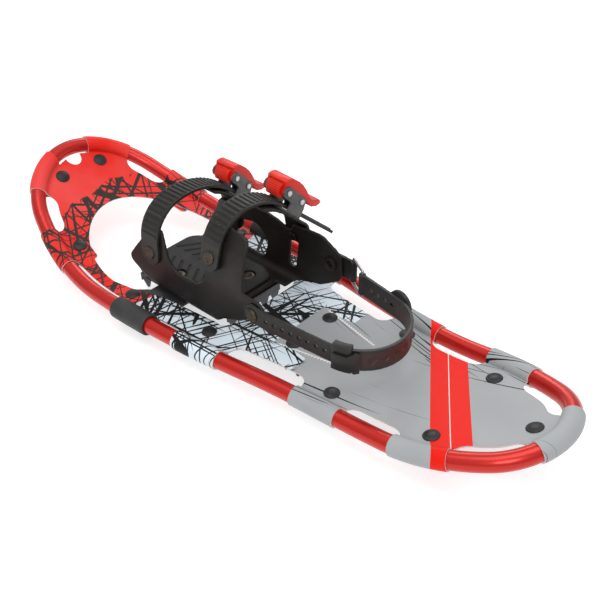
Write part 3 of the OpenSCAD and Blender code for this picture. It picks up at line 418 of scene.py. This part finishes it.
def deck_print():
    """Printed sheet: red nose, ice blue middle, grey tail, dark scratches and two red bands."""
    m = Mat("deck_print", 0.45, Specular_IOR_Level=0.12)
    split = m.node("ShaderNodeSeparateXYZ")
    m.link(m.coords, split.inputs[0])
    x, y = split.outputs[0], split.outputs[1]
    red, ice, grey = (0.70, 0.010, 0.003), (0.60, 0.68, 0.74), (0.305, 0.318, 0.328)
    ink, brown_ink = (0.012, 0.011, 0.011), (0.036, 0.026, 0.024)
    nose_from, nose_bow = 0.0955, 1.4        # red starts here on the middle line, bowed by y squared
    tail_from, tail_step = 0.0385, 0.038     # grey starts behind here, further back at the sides
    field_slope, field_shift = 0.20, -0.0425  # sides of the grey heel field
    tooth_pitch, tooth_rise = 0.0016, 1.2
    band_along = (-0.812, -0.584)            # direction across the two slanting bands
    near = m.math("ABSOLUTE", y)
    wobble = m.span(m.noise(16.0, 2.0), -0.006, 0.006)
    # zones along the shoe
    nose_edge = m.math("ADD", m.math("MULTIPLY", m.math("MULTIPLY", y, y), nose_bow), nose_from)
    in_nose = m.step(m.math("SUBTRACT", x, nose_edge), -0.0003, 0.0003)
    side = m.math("ADD", m.math("MULTIPLY", m.step(near, 0.030, 0.034), tail_step), tail_from)
    in_tail = m.step(m.math("ADD", x, side), 0.0004, -0.0004)
    # saw teeth along the two slanting sides of the grey heel field
    edge = m.math("SUBTRACT", m.math("MULTIPLY", x, field_slope), field_shift)
    off = m.math("SUBTRACT", near, edge)
    saw = m.math("MULTIPLY", m.math("PINGPONG", x, tooth_pitch), tooth_rise)
    along = m.math("MULTIPLY", m.step(x, -0.044, -0.045), m.step(x, -0.112, -0.110))
    tips = m.step(m.math("SUBTRACT", off, saw), 0.0003, -0.0003)
    teeth = m.math("MULTIPLY", tips, m.step(off, -0.0009, -0.0006))
    teeth = m.math("MULTIPLY", teeth, along)
    inside = m.math("MULTIPLY", m.step(off, 0.0003, -0.0003), m.step(x, -0.0380, -0.0384))
    plain = m.math("MAXIMUM", inside, in_tail)
    ground = m.mix(in_nose, m.mix(plain, ice, grey), red)
    ground = m.mix(m.math("MULTIPLY", m.step(m.noise(9.0, 4.0), 0.35, 0.75), 0.07), ground, (0.9, 0.9, 0.9))
    # families of long thin strokes: turn, lengthwise and crosswise frequency, threshold
    marks = None
    for turn, length, across, limit, seed in (
        (24, 14, 300, 0.66, 0.3), (-31, 13, 380, 0.67, 1.7),
        (63, 16, 340, 0.67, 2.9), (4, 12, 400, 0.68, 4.1),
        (-58, 15, 260, 0.68, 5.3), (41, 10, 120, 0.69, 6.1),
        (-12, 10, 170, 0.69, 7.7), (84, 16, 300, 0.70, 8.9),
    ):
        place = (seed * 0.1, seed * 0.3, 0)
        streak = m.noise(1.0, 0.0, 0.5, m.mapped((1.2, across, 0.5), (0, 0, turn), place))
        ends = m.noise(1.0, 0.0, 0.5, m.mapped((length, across * 0.4, 0.5), (0, 0, turn), place))
        cluster = m.noise(14.0, 1.0, 0.5, m.mapped((0.5, 1, 0.01), (0, 0, turn), (seed * 0.5, seed, 0)))
        value = m.math("ADD", streak, m.math("MULTIPLY", m.math("SUBTRACT", cluster, 0.5), 0.50))
        value = m.math("ADD", value, m.math("MULTIPLY", m.math("SUBTRACT", ends, 0.5), 0.45))
        mark = m.step(value, limit, limit + 0.015)
        marks = mark if marks is None else m.math("MAXIMUM", marks, mark)
    # the strokes thin out toward the nose tip and stop at the grey field
    fade = m.step(m.math("ADD", x, m.math("MULTIPLY", y, 0.10)), 0.285, 0.232)
    frayed = m.step(m.math("ADD", fade, m.span(m.noise(30.0, 1.0), -0.45, 0.45)), 0.45, 0.52)
    behind = m.step(m.math("ADD", x, m.math("ADD", wobble, side)), 0.0, -0.004)
    stop = m.math("SUBTRACT", 1.0, m.math("MAXIMUM", inside, behind))
    inked = m.math("MULTIPLY", m.math("MULTIPLY", marks, frayed), stop)
    # a few long hairlines run on over the grey tail
    for turn, seed in ((9, 3.3), (-14, 5.1)):
        hair = m.noise(1.0, 1.0, 0.5, m.mapped((3.5, 420, 1), (0, 0, turn), (seed * 0.1, 0.6, 0)))
        sparse = m.noise(16.0, 1.0, 0.5, m.mapped((0.5, 1, 0.01), (0, 0, turn), (seed, 1.1, 0)))
        bias = m.math("MULTIPLY", m.math("SUBTRACT", sparse, 0.5), 0.55)
        hair = m.step(m.math("ADD", hair, bias), 0.70, 0.71)
        place = m.math("MULTIPLY", m.step(x, -0.05, -0.07), m.step(near, 0.018, 0.026))
        hair = m.math("MULTIPLY", hair, place)
        inked = m.math("MAXIMUM", inked, hair)
    printed = m.mix(inked, ground, m.mix(in_nose, ink, brown_ink))
    printed = m.mix(teeth, printed, (0.66, 0.66, 0.64))
    # two slanting bands with a pale line between them
    w = m.math("ADD", m.math("MULTIPLY", x, band_along[0]), m.math("MULTIPLY", y, band_along[1]))
    band = m.math("MULTIPLY", m.step(w, 0.1527, 0.1529), m.step(w, 0.1853, 0.1851))
    printed = m.mix(band, printed, red)
    pale = m.math("MULTIPLY", m.step(w, 0.1681, 0.1683), m.step(w, 0.1690, 0.1688))
    printed = m.mix(pale, printed, (0.75, 0.70, 0.68))
    m.colour(printed)
    m.roughness(m.math("ADD", m.span(m.noise(140.0, 4.0), 0.36, 0.48), m.math("MULTIPLY", inked, 0.06)))
    weave = m.math("ADD", m.noise(700.0, 2.0), m.math("MULTIPLY", m.noise(60.0, 2.0), 0.6))
    m.bump(weave, 0.08, 0.00012)
    return m.mat


def cut_edge():
    """Pale cut edge of the deck sheet."""
    m = Mat("deck_cut_edge", 0.6)
    m.colour(m.mix(m.noise(300.0, 3.0), (0.50, 0.49, 0.47), (0.70, 0.69, 0.67)))
    m.bump(m.noise(900.0, 2.0), 0.2, 0.0001)
    return m.mat


def heel_panel():
    """Strap rubber with a sunk, reddish brown panel along its middle."""
    m = Mat("heel_strap_panel", 0.44)
    split = m.node("ShaderNodeSeparateXYZ")
    m.link(m.coords, split.inputs[0])
    x, z = split.outputs[0], split.outputs[2]
    middle_z, droop = 0.0629, 0.035
    middle = m.math("ADD", middle_z, m.math("MULTIPLY", x, droop))
    height = m.math("ABSOLUTE", m.math("SUBTRACT", z, middle))
    panel = m.math("MULTIPLY", m.step(height, 0.0078, 0.0074), m.step(x, -0.120, -0.1215))
    base = m.mix(m.step(m.noise(35.0, 4.0), 0.35, 0.7), (0.016, 0.015, 0.014), (0.026, 0.025, 0.024))
    brown = m.mix(m.noise(60.0, 3.0), (0.034, 0.016, 0.013), (0.050, 0.022, 0.018))
    base = m.mix(panel, base, brown)
    # painted highlight: the convex edges are mixed toward a paler grey
    m.colour(m.mix(m.math("MULTIPLY", m.edges(), 0.35), base, (0.11, 0.105, 0.10)))
    m.roughness(m.span(m.noise(120.0, 3.0), 0.36, 0.52))
    grit = m.math("SUBTRACT", m.math("MULTIPLY", m.noise(900.0, 2.0), 0.25), panel)
    m.bump(grit, 0.5, 0.0003)
    return m.mat


MATERIALS = {
    "tube_paint": tube_paint(),
    "deck_sheet": deck_print(),
    "lever_red": lever_red(),
    "buckle_body": buckle_body(),
    "rivet_black": rubber("rivet_black", (0.016, 0.016, 0.016), (0.026, 0.026, 0.026), 1200.0, 0.38, 0.4),
    "band": rubber("band", (0.028, 0.028, 0.029), (0.040, 0.040, 0.041), 700.0, 0.5),
    "cradle": rubber("cradle", (0.010, 0.008, 0.007), (0.016, 0.013, 0.011), 650.0, 0.42, 0.35),
    "pad": rubber("pad", (0.016, 0.016, 0.016), (0.026, 0.025, 0.024), 800.0, 0.55),
    "strap": rubber("strap", (0.014, 0.013, 0.012), (0.022, 0.021, 0.020), 900.0, 0.40, 0.5),
    "dark_plastic": rubber("dark_plastic", (0.012, 0.011, 0.010), (0.020, 0.019, 0.018), 1200.0, 0.38),
    "steel": steel("steel", (0.52, 0.52, 0.53), 0.30),
    "crampon_steel": steel("crampon_steel", (0.10, 0.10, 0.105), 0.42),
    "raw_metal": steel("raw_metal", (0.60, 0.60, 0.61), 0.38),
    "rivet_bronze": steel("rivet_bronze", (0.085, 0.068, 0.052), 0.40, (3, 3, 3)),
}


# ---------------------------------------------------------------- frame tube
def frame_tube():
    stations, sides = 260, 36
    verts, faces = [], []
    for i in range(stations):
        x, y, h = line.at(2 * line.half * i / stations)
        t = Vector((cos(h), sin(h), slope(x) * cos(h))).normalized()
        n = Vector((-sin(h), cos(h), 0))
        b = t.cross(n)
        for j in range(sides):
            a = 360 * j / sides
            verts.append(tuple(Vector((x, y, lift(x))) + TUBE_R * (cos(a) * n + sin(a) * b)))
    for i in range(stations):
        for j in range(sides):
            k, q = (j + 1) % sides, (i + 1) % stations
            faces.append((i * sides + j, i * sides + k, q * sides + k, q * sides + j))
    obj = mesh_object("frame_tube_painted", verts, faces, 60)
    return finish(obj, "frame", MATERIALS["tube_paint"], ["frame_tube"])


# ---------------------------------------------------------------- deck
TAIL_TAB = 27.0
TABS = [(93, 141), (197, 243), (326, 377), (541, 586), (634, 680)]
GAP_DEPTH = [18.5, 18, 24, 11.6, 19]
SIDE = TUBE_R + SHEET_T / 2          # tube side, where a gap's edge starts
CORNER = 13.0                        # rounding of a gap's inner corners
FOLD_FROM = 22.0                     # inboard distance where a tab starts to leave the deck
WRAP_R = TUBE_R + SHEET_T / 2 + 0.15
FILLET = 6.0
FLAP_TO = 33.0
NOTCH_X, NOTCH_R = 301, 9            # notch in the deck at the nose
HOLE_X, HOLE_REACH, HOLE_HALF = 150, 93, 71
HOLE_REAR_X, HOLE_REAR_Y, HOLE_CORNER = 22, 37.5, 13
TAIL_RIVET = (-286, 0)


def tab_section():
    """Points (inboard, up) of a tab's middle line at 0.5 mm steps from FOLD_FROM."""
    reach = WRAP_R + FILLET
    top = math.degrees(math.asin(FILLET / reach))
    flap = FILLET + SHEET_T + 0.15
    low = math.degrees(math.asin(flap / reach))
    cx, cx2 = reach * cos(top), reach * cos(low)
    pts = [(FOLD_FROM, 0.0)]
    pts += [(cx + FILLET * cos(a), FILLET + FILLET * sin(a)) for a in np.linspace(270, 180 + top, 14)]
    pts += [(WRAP_R * cos(a), WRAP_R * sin(a)) for a in np.linspace(top, 360 - low, 90)]
    pts += [(cx2 + FILLET * cos(a), -flap + FILLET * sin(a)) for a in np.linspace(180 - low, 90, 14)]
    pts.append((FLAP_TO, -flap + FILLET))
    out, run = [pts[0]], 0.0
    lengths = [0.0]
    for p, q in zip(pts, pts[1:]):
        run += math.dist(p, q)
        lengths.append(run)
    steps = int(run / 0.5)
    xs = np.interp(np.linspace(0, run, steps), lengths, [p[0] for p in pts])
    ys = np.interp(np.linspace(0, run, steps), lengths, [p[1] for p in pts])
    return np.linspace(0, run, steps), xs, ys


SECTION = tab_section()
TONGUE = SECTION[0][-1] - FOLD_FROM      # how far a tab reaches past the tube when laid flat


def gap_points(a, b, depth):
    pts = []
    for i in range(31):
        u = a + (b - a) * i / 30
        e = min(u - a, b - u)
        f = 1.0 if e >= CORNER else math.sqrt(1 - (1 - e / CORNER) ** 2)
        pts.append(line.inside(u, SIDE + (depth - SIDE) * f))
    return pts


def tongue_points(a, b):
    far, r = -TONGUE, 5.0
    pts = [line.inside(a, d) for d in np.arange(SIDE - 2, far + r, -3.0)]
    pts += [line.inside(a + r - r * cos(t), far + r - r * sin(t)) for t in (0, 30, 60, 90)]
    pts += [line.inside(u, far) for u in np.arange(a + r + 4, b - r - 1, 4.0)]
    pts += [line.inside(b - r + r * sin(t), far + r - r * cos(t)) for t in (0, 30, 60, 90)]
    pts += [line.inside(b, d) for d in np.arange(far + r, SIDE - 1, 3.0)][1:]
    return pts


def deck_outline():
    """Left half of the flat deck with its tabs laid out, from the tail to the nose notch."""
    half = [p for p in tongue_points(-TAIL_TAB, TAIL_TAB) if p[1] > 0.5]
    last = TAIL_TAB
    for (a, b), depth in zip(TABS, GAP_DEPTH):
        half += gap_points(last, a, depth)
        half += tongue_points(a, b)
        last = b
    half.append(line.inside(last, SIDE))
    half += [(NOTCH_X - NOTCH_R * sin(90 * i / 8), NOTCH_R * cos(90 * i / 8)) for i in range(9)]
    half = [p for p in half if p[1] >= -1e-6]
    tail = (line.inside(0, -TONGUE)[0], 0.0)
    return [tail] + half + [(x, -y) for x, y in half[-2::-1]]


def toe_hole():
    half = [(HOLE_X + HOLE_REACH * cos(a), HOLE_HALF * sin(a)) for a in np.linspace(0, 90, 24)]
    half += [(128, 67), (112, 62.5), (96, 57.5), (80, 55), (60, 53), (24, 49.5)]
    half += [(HOLE_REAR_X - HOLE_CORNER * sin(a), HOLE_REAR_Y + HOLE_CORNER * cos(a))
             for a in np.linspace(15, 90, 7)]
    return half + [(x, -y) for x, y in half[-1:0:-1]]


def inside_polygon(points, polygon):
    x, y = points[:, 0], points[:, 1]
    hit = np.zeros(len(points), bool)
    for (x0, y0), (x1, y1) in zip(polygon, polygon[1:] + polygon[:1]):
        cross = (y0 > y) != (y1 > y)
        with np.errstate(divide="ignore", invalid="ignore"):
            hit ^= cross & (x < (x1 - x0) * (y - y0) / (y1 - y0) + x0)
    return hit


def clear_of(points, polygon, gap):
    """True for points more than gap from every corner of the polygon."""
    corners = np.array(polygon)
    d = np.sqrt(((points[:, None, :] - corners[None]) ** 2).sum(2)).min(1)
    return d > gap


LINE_U = np.arange(0, 2 * line.half, 0.5)
LINE_P = np.array([line.at(u) for u in LINE_U])


def fold(x, y):
    """Deck point in the plane -> 3-D point, with the tabs wrapped round the tube."""
    d2 = (LINE_P[:, 0] - x) ** 2 + (LINE_P[:, 1] - y) ** 2
    i = int(d2.argmin())
    u = LINE_U[i]
    px, py, h = LINE_P[i]
    along = (x - px) * cos(h) + (y - py) * sin(h)
    u += along
    px, py, h = line.at(u)
    d = (x - px) * sin(h) - (y - py) * cos(h)
    across = slope(px) * sin(h)
    stretch = math.sqrt(1 + across * across)
    true = d * stretch
    on_tab = any(a - 1 <= u <= b + 1 for a, b in [(-TAIL_TAB, TAIL_TAB)] + TABS)
    if true >= FOLD_FROM or not on_tab and true > SIDE - 1:
        return x, y, lift(x)
    s = FOLD_FROM - true
    dd = float(np.interp(s, SECTION[0], SECTION[1]))
    up = float(np.interp(s, SECTION[0], SECTION[2]))
    flat = dd / stretch
    fx, fy = px + flat * sin(h), py - flat * cos(h)
    fz = lift(fx) if dd > 0 else lift(px) + across * flat
    t = Vector((cos(h), sin(h), slope(px) * cos(h))).normalized()
    m = Vector((sin(h), -cos(h), across)).normalized()
    w = m.cross(t)
    w = w if w.z > 0 else -w
    return fx + up * w.x, fy + up * w.y, fz + up * w.z


def deck():
    outline, hole = deck_outline(), toe_hole()
    grid = np.array([(x, y) for x in np.arange(-316, 316, 7.0) for y in np.arange(-110, 111, 7.0)])
    near = np.array([min(np.hypot(LINE_P[::4, 0] - x, LINE_P[::4, 1] - y)) for x, y in grid])
    grid = grid[near > FOLD_FROM + 3]
    rows = []
    for a, b in [(-TAIL_TAB, TAIL_TAB)] + TABS:
        for side in (1, -1):
            if side < 0 and a < 0:
                continue
            for u in np.linspace(a - 10, b + 10, int((b - a + 20) / 4) + 1):
                for d in np.arange(-TONGUE + 1.6, FOLD_FROM + 2, 1.6):
                    p = line.inside(u, d)
                    rows.append((p[0], side * p[1]))
    free = np.vstack([grid, np.array(rows)])
    free = free[inside_polygon(free, outline) & ~inside_polygon(free, hole)]
    free = free[clear_of(free, outline, 1.2) & clear_of(free, hole, 2.5)]
    points = [Vector(p) for p in outline] + [Vector(p) for p in hole] + [Vector(p) for p in free]
    n, m = len(outline), len(hole)
    edges = [(i, (i + 1) % n) for i in range(n)] + [(n + i, n + (i + 1) % m) for i in range(m)]
    verts, _, faces, _, _, _ = delaunay_2d_cdt(points, edges, [], 1, 1e-4)
    flat = np.array([(v.x, v.y) for v in verts])
    mids = np.array([flat[list(f)].mean(0) for f in faces])
    keep = inside_polygon(mids, outline) & ~inside_polygon(mids, hole)
    faces = [tuple(f) for f, k in zip(faces, keep) if k]
    obj = mesh_object("deck_sheet", [fold(x, y) for x, y in flat], faces, 80)
    bm = bmesh.new()
    bm.from_mesh(obj.data)
    loose = [v for v in bm.verts if not v.link_faces]
    bmesh.ops.delete(bm, geom=loose, context="VERTS")
    bmesh.ops.recalc_face_normals(bm, faces=bm.faces)
    bm.to_mesh(obj.data)
    bm.free()
    thick = obj.modifiers.new("thickness", "SOLIDIFY")
    thick.thickness = SHEET_T * MM
    thick.offset = 0.0
    thick.material_offset_rim = 1
    obj.data.materials.append(MATERIALS["deck_sheet"])
    obj.data.materials.append(cut_edge())
    apply_modifiers(obj)
    smooth_by_angle(obj, 50)
    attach(obj, "frame")
    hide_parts("deck")


# ---------------------------------------------------------------- deck hardware
TAB_RIVETS = [(287, 25), (213, 64), (17, 64), (-124, 52.5), (-222, 45)]
OTHER_RIVETS = [(-54, 25), (119, 72.5)]


def on_deck(x, y):
    turn = Matrix.Rotation(-math.atan(slope(x)), 4, "Y")
    return Matrix.Translation(Vector((x, y, lift(x)))) @ turn


def deck_rivets():
    top = SHEET_T / 2 + 0.08
    head = [(7.2, top), (7.3, top + 0.45), (7.0, top + 0.95), (6.3, top + 1.35), (6.0, top + 1.40),
            (5.6, top + 1.28), (5.2, top + 1.42), (4.0, top + 1.85), (2.4, top + 2.12), (0.9, top + 2.22)]
    shank = [(4.2, -4.2), (4.2, -3.0), (2.4, -2.9), (2.4, top)]
    places = [on_deck(x, s * y) for x, y in TAB_RIVETS + OTHER_RIVETS for s in (1, -1)]
    places.append(on_deck(*TAIL_RIVET))
    obj = lathe("deck_rivet_heads", shank + head, places)
    nodes = ["deck_rivets", "pivot_rivets", "crampon_rivets"]
    finish(obj, "frame", MATERIALS["rivet_black"], nodes)
    flat = -1.5 * SHEET_T
    ring = [(2.45, flat - 0.9), (6.3, flat - 0.9), (6.5, flat - 0.7), (6.5, flat - 0.1), (2.45, flat - 0.1)]
    places = [on_deck(x, s * y) for x, y in TAB_RIVETS for s in (1, -1)]
    places.append(on_deck(*TAIL_RIVET))
    obj = lathe("rivet_back_washers", ring, places)
    finish(obj, "frame", MATERIALS["raw_metal"], ["rivet_washers"])


def pivot_band():
    """One band each side: the CAD band halved at the middle line, with rounded edges."""
    for side, name in ((1, "pivot_band_left"), (-1, "pivot_band_right")):
        obj = copy_of(name, "pivot_band_middle", "pivot_band_ends")
        bm = bmesh.new()
        bm.from_mesh(obj.data)
        bmesh.ops.bisect_plane(bm, geom=bm.verts[:] + bm.edges[:] + bm.faces[:], plane_co=(0, 0, 0),
                               plane_no=(0, -side, 0), clear_outer=True)
        bmesh.ops.holes_fill(bm, edges=[e for e in bm.edges if e.is_boundary])
        bm.to_mesh(obj.data)
        bm.free()
        moulded(name, (), 0.8, 3, obj)
        obj.data.materials.clear()
        obj.data.materials.append(MATERIALS["band"])
        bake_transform(obj)
        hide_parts("pivot_band_middle", "pivot_band_ends")


# ---------------------------------------------------------------- pieces shaped by the CAD
MOULDED = [   # piece, node, body, slot, voxel mm, smoothing rounds
    ("binding_cradle_moulding", "binding_cradle", "binding", "cradle", 0.9, 4),
    ("footbed_tread", "footbed_pad", "binding", "pad", 0.6, 2),
    ("instep_strap_front", "ladder_strap_front", "binding", "strap", 0.4, 1),
    ("instep_strap_rear", "ladder_strap_rear", "binding", "strap", 0.4, 1),
    ("buckle_mount_front", "mount_strap_front", "binding", "cradle", 0.6, 3),
    ("buckle_mount_rear", "mount_strap_rear", "binding", "cradle", 0.6, 3),
    ("heel_arm_strap", "heel_strap_arm", "heel_strap", "strap", 0.5, 2),
    ("heel_back_strap", "heel_strap_back", "heel_strap", "strap", 0.5, 2),
    ("heel_anchor_strap", "heel_anchor", "heel_strap", "strap", 0.5, 2),
]
EDGED = [     # piece, node, body, slot, bevel mm
    ("buckle_channel_front", "buckle_base_front", "binding", "buckle_body", 0.45),
    ("buckle_channel_rear", "buckle_base_rear", "binding", "buckle_body", 0.45),
    ("ratchet_lever_front", "lever_front", "lever_front", "lever_red", 0.6),
    ("ratchet_lever_rear", "lever_rear", "lever_rear", "lever_red", 0.6),
    ("release_pad_front", "thumb_pad_front", "thumb_pad_front", "lever_red", 0.6),
    ("release_pad_rear", "thumb_pad_rear", "thumb_pad_rear", "lever_red", 0.6),
    ("pawl_plate_front", "pawl_front", "pawl_front", "steel", 0.25),
    ("pawl_plate_rear", "pawl_rear", "pawl_rear", "steel", 0.25),
    ("toe_crampon_plate", "toe_crampon", "binding", "crampon_steel", 0.3),
    ("heel_crampon_plate", "heel_crampon", "frame", "crampon_steel", 0.3),
    ("heel_clip_body", "heel_clip", "heel_strap", "dark_plastic", 0.6),
    ("heel_clip_hook", "clip_hook", "heel_strap", "dark_plastic", 0.4),
    ("heel_thumb_tab", "thumb_tab", "heel_strap", "pad", 0.4),
    ("base_ring_rivets", "base_rivets", "binding", "rivet_bronze", 0.15),
    ("strap_ring_rivets", "strap_rivets", "binding", "rivet_bronze", 0.15),
    ("mount_ring_rivets", "mount_rivets", "binding", "rivet_bronze", 0.15),
    ("buckle_pin_set", "buckle_pins", "binding", "steel", 0.15),
    ("heel_ring_rivet", "heel_pivot_rivet", "binding", "rivet_bronze", 0.15),
    ("heel_eyelet_ring", "heel_eyelet", "binding", "rivet_bronze", 0.15),
    ("heel_loop_ring", "heel_ring", "heel_strap", "steel", 0.1),
]


def shaped_pieces():
    for name, node, body, slot, voxel, rounds in MOULDED:
        obj = moulded(name, [node], voxel * (1.0), rounds)
        look = heel_panel() if name == "heel_back_strap" else MATERIALS[slot]
        finish(obj, body, look, [node])
    for name, node, body, slot, width in EDGED:
        obj = edged(name, [node], width)
        finish(obj, body, MATERIALS[slot], [node])
    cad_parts["tail_plug"].data.materials.clear()
    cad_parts["tail_plug"].data.materials.append(MATERIALS["raw_metal"])


# ---------------------------------------------------------------- floor, light and camera
def floor():
    mesh = bpy.data.meshes.new("floor")
    size = 6.0
    corners = [(-size, -size, 0), (size, -size, 0), (size, size, 0), (-size, size, 0)]
    mesh.from_pydata(corners, [], [(0, 1, 2, 3)])
    obj = add_object("floor", mesh)
    obj.location.z = cad_box[0][2] - 0.0002
    m = Mat("floor_white", 0.9, Specular_IOR_Level=0.1, Emission_Color=(1, 1, 1, 1), Emission_Strength=0.62)
    m.colour(m.mix(m.noise(3.0), (0.52, 0.52, 0.52), (0.56, 0.56, 0.56)))
    mesh.materials.append(m.mat)


def area_light(name, place, target, size, power):
    light = bpy.data.lights.new(name, "AREA")
    light.shape = "RECTANGLE"
    light.size, light.size_y = size
    light.energy = power
    obj = bpy.data.objects.new(name, light)
    scene.collection.objects.link(obj)
    obj.location = place
    obj.rotation_euler = (Vector(target) - Vector(place)).to_track_quat("-Z", "Y").to_euler()


def lights():
    world = bpy.data.worlds.new("studio")
    world.use_nodes = True
    tree = world.node_tree
    background = tree.nodes["Background"]
    background.inputs[1].default_value = 1.0
    coords = tree.nodes.new("ShaderNodeTexCoord")
    split = tree.nodes.new("ShaderNodeSeparateXYZ")
    ramp = tree.nodes.new("ShaderNodeValToRGB")
    ramp.color_ramp.elements[0].position = 0.05
    ramp.color_ramp.elements[0].color = (0.42, 0.42, 0.42, 1)
    ramp.color_ramp.elements[1].position = 0.85
    ramp.color_ramp.elements[1].color = (0.78, 0.78, 0.78, 1)
    tree.links.new(coords.outputs["Generated"], split.inputs[0])
    tree.links.new(split.outputs[2], ramp.inputs[0])
    tree.links.new(ramp.outputs[0], background.inputs[0])
    scene.world = world
    area_light("top", (-0.1, 0.1, 1.6), (0, 0, 0), (1.6, 1.0), 11.5)
    area_light("key", (-0.9, 1.3, 1.2), (0, 0, 0.03), (0.9, 0.7), 10.5)
    area_light("rim", (0.9, -1.2, 1.0), (0, 0, 0.05), (1.0, 0.6), 6)
    scene.view_settings.view_transform = "Standard"


def camera():
    azimuth, elevation, roll = 223.47, 36.84, -1.7
    distance, focal_px, frame_px = 0.88146, 902.69, 612
    target = Vector((-0.01612, -0.0326, GROUND * MM))
    back = Vector((sin(azimuth) * cos(elevation), -cos(azimuth) * cos(elevation), sin(elevation)))
    right = (-back).cross(Vector((0, 0, 1))).normalized()
    up = right.cross(-back)
    right, up = right * cos(roll) + up * sin(roll), up * cos(roll) - right * sin(roll)
    data = bpy.data.cameras.new("camera")
    data.sensor_width = 36.0
    data.lens = focal_px / frame_px * data.sensor_width
    data.clip_start = 0.01
    obj = bpy.data.objects.new("camera", data)
    scene.collection.objects.link(obj)
    turn = Matrix((right, up, back)).transposed().to_4x4()
    obj.matrix_world = Matrix.Translation(target + back * distance) @ turn
    scene.camera = obj


camera()
floor()
lights()
frame_tube()
deck()
deck_rivets()
pivot_band()
shaped_pieces()
